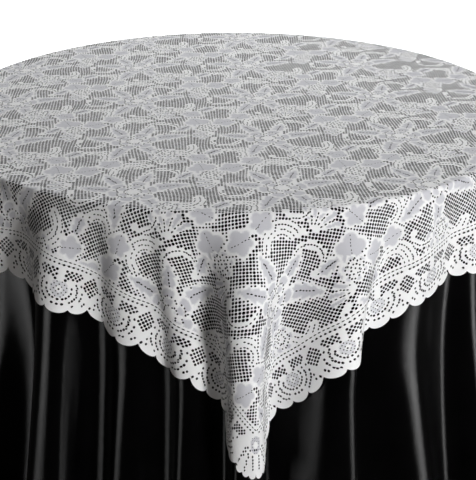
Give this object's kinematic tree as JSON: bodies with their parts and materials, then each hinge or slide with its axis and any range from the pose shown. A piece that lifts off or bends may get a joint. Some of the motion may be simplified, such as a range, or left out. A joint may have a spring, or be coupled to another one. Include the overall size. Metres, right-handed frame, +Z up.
{
  "type": "tablecloth on a table",
  "caption": "Square lace overlay laid corner to the front over a floor-length round undercloth, on a round folding banquet table with pivoting leg frames and knuckle braces.",
  "frame": {"origin": "on the floor under the middle of the table", "axes": "+Z up, -Y towards the corner of the lace that faces the viewer, +X to the right of that view"},
  "size_m": [1.7468, 1.7468, 0.765],
  "materials": {
    "plywood": "birch plywood, clear lacquer",
    "runner_wood": "planed softwood",
    "edge_band": "rolled edge band, satin",
    "frame_steel": "powder coat, dark grey",
    "zinc_steel": "zinc plated steel",
    "foot_cap": "moulded cap, matt black",
    "undercloth": "black polyester, soft sheen",
    "lace": "white machine lace, open net and dense figures"
  },
  "bodies": {
    "table": {"table_top": "plywood", "edge_band": "edge_band", "runner_left": "runner_wood", "runner_right": "runner_wood", "leg_bracket_front_left": "zinc_steel", "leg_bracket_front_right": "zinc_steel", "leg_bracket_back_left": "zinc_steel", "leg_bracket_back_right": "zinc_steel", "brace_front_bracket": "zinc_steel", "brace_back_bracket": "zinc_steel", "brace_front_upper_pin": "zinc_steel", "brace_back_upper_pin": "zinc_steel", "bracket_screw_front_left_inner": "zinc_steel", "bracket_screw_front_left_outer": "zinc_steel", "bracket_screw_front_right_inner": "zinc_steel", "bracket_screw_front_right_outer": "zinc_steel", "bracket_screw_back_left_inner": "zinc_steel", "bracket_screw_back_left_outer": "zinc_steel", "bracket_screw_back_right_inner": "zinc_steel", "bracket_screw_back_right_outer": "zinc_steel", "brace_screw_front_inner": "zinc_steel", "brace_screw_front_outer": "zinc_steel", "brace_screw_back_inner": "zinc_steel", "brace_screw_back_outer": "zinc_steel"},
    "front_legs": {"pivot_tube_front": "frame_steel", "crossbar_front": "frame_steel", "leg_front_left": "frame_steel", "leg_front_right": "frame_steel", "foot_cap_front_left": "foot_cap", "foot_cap_front_right": "foot_cap", "brace_front_lug": "frame_steel", "brace_front_lower_pin": "zinc_steel"},
    "front_brace_upper": {"brace_front_upper_link": "zinc_steel", "brace_front_upper_knee_rivet": "zinc_steel"},
    "front_brace_lower": {"brace_front_lower_link": "zinc_steel", "brace_front_lower_knee_rivet": "zinc_steel"},
    "back_legs": {"pivot_tube_back": "frame_steel", "crossbar_back": "frame_steel", "leg_back_left": "frame_steel", "leg_back_right": "frame_steel", "foot_cap_back_left": "foot_cap", "foot_cap_back_right": "foot_cap", "brace_back_lug": "frame_steel", "brace_back_lower_pin": "zinc_steel"},
    "back_brace_upper": {"brace_back_upper_link": "zinc_steel", "brace_back_upper_knee_rivet": "zinc_steel"},
    "back_brace_lower": {"brace_back_lower_link": "zinc_steel", "brace_back_lower_knee_rivet": "zinc_steel"},
    "undercloth_cloth": {"undercloth": "undercloth"},
    "lace_cloth": {"lace_overlay": "lace"}
  },
  "joints": [
    {"name": "front_legs_fold", "type": "hinge", "parent": "table", "child": "front_legs", "pos_m": [0, -0.43, 0.695], "axis": [1, 0, 0], "range_deg": [0, 94]},
    {"name": "front_brace_upper_fold", "type": "hinge", "parent": "table", "child": "front_brace_upper", "pos_m": [0, -0.1, 0.719], "axis": [1, 0, 0], "range_deg": [-44.04, 0]},
    {"name": "front_brace_lower_fold", "type": "hinge", "parent": "front_legs", "child": "front_brace_lower", "pos_m": [0, -0.42629, 0.40403], "axis": [1, 0, 0], "range_deg": [0, 42.06]},
    {"name": "back_legs_fold", "type": "hinge", "parent": "table", "child": "back_legs", "pos_m": [0, 0.43, 0.661], "axis": [-1, 0, 0], "range_deg": [0, 94]},
    {"name": "back_brace_upper_fold", "type": "hinge", "parent": "table", "child": "back_brace_upper", "pos_m": [0, 0.1, 0.685], "axis": [-1, 0, 0], "range_deg": [-44.04, 0]},
    {"name": "back_brace_lower_fold", "type": "hinge", "parent": "back_legs", "child": "back_brace_lower", "pos_m": [0, 0.42629, 0.37003], "axis": [-1, 0, 0], "range_deg": [0, 42.06]},
    {"name": "undercloth_lift_off", "type": "slide", "parent": "table", "child": "undercloth_cloth", "axis": [0, 0, 1], "range_m": [0, 0.78]},
    {"name": "lace_lift_off", "type": "slide", "parent": "undercloth_cloth", "child": "lace_cloth", "axis": [0, 0, 1], "range_m": [0, 0.66]}
  ],
  "couplings": [
    {"joint": "front_brace_upper_fold", "follows": "front_legs_fold", "ratio": -0.46796},
    {"joint": "front_brace_lower_fold", "follows": "front_legs_fold", "ratio": 0.44693},
    {"joint": "back_brace_upper_fold", "follows": "back_legs_fold", "ratio": -0.46796},
    {"joint": "back_brace_lower_fold", "follows": "back_legs_fold", "ratio": 0.44693}
  ]
}
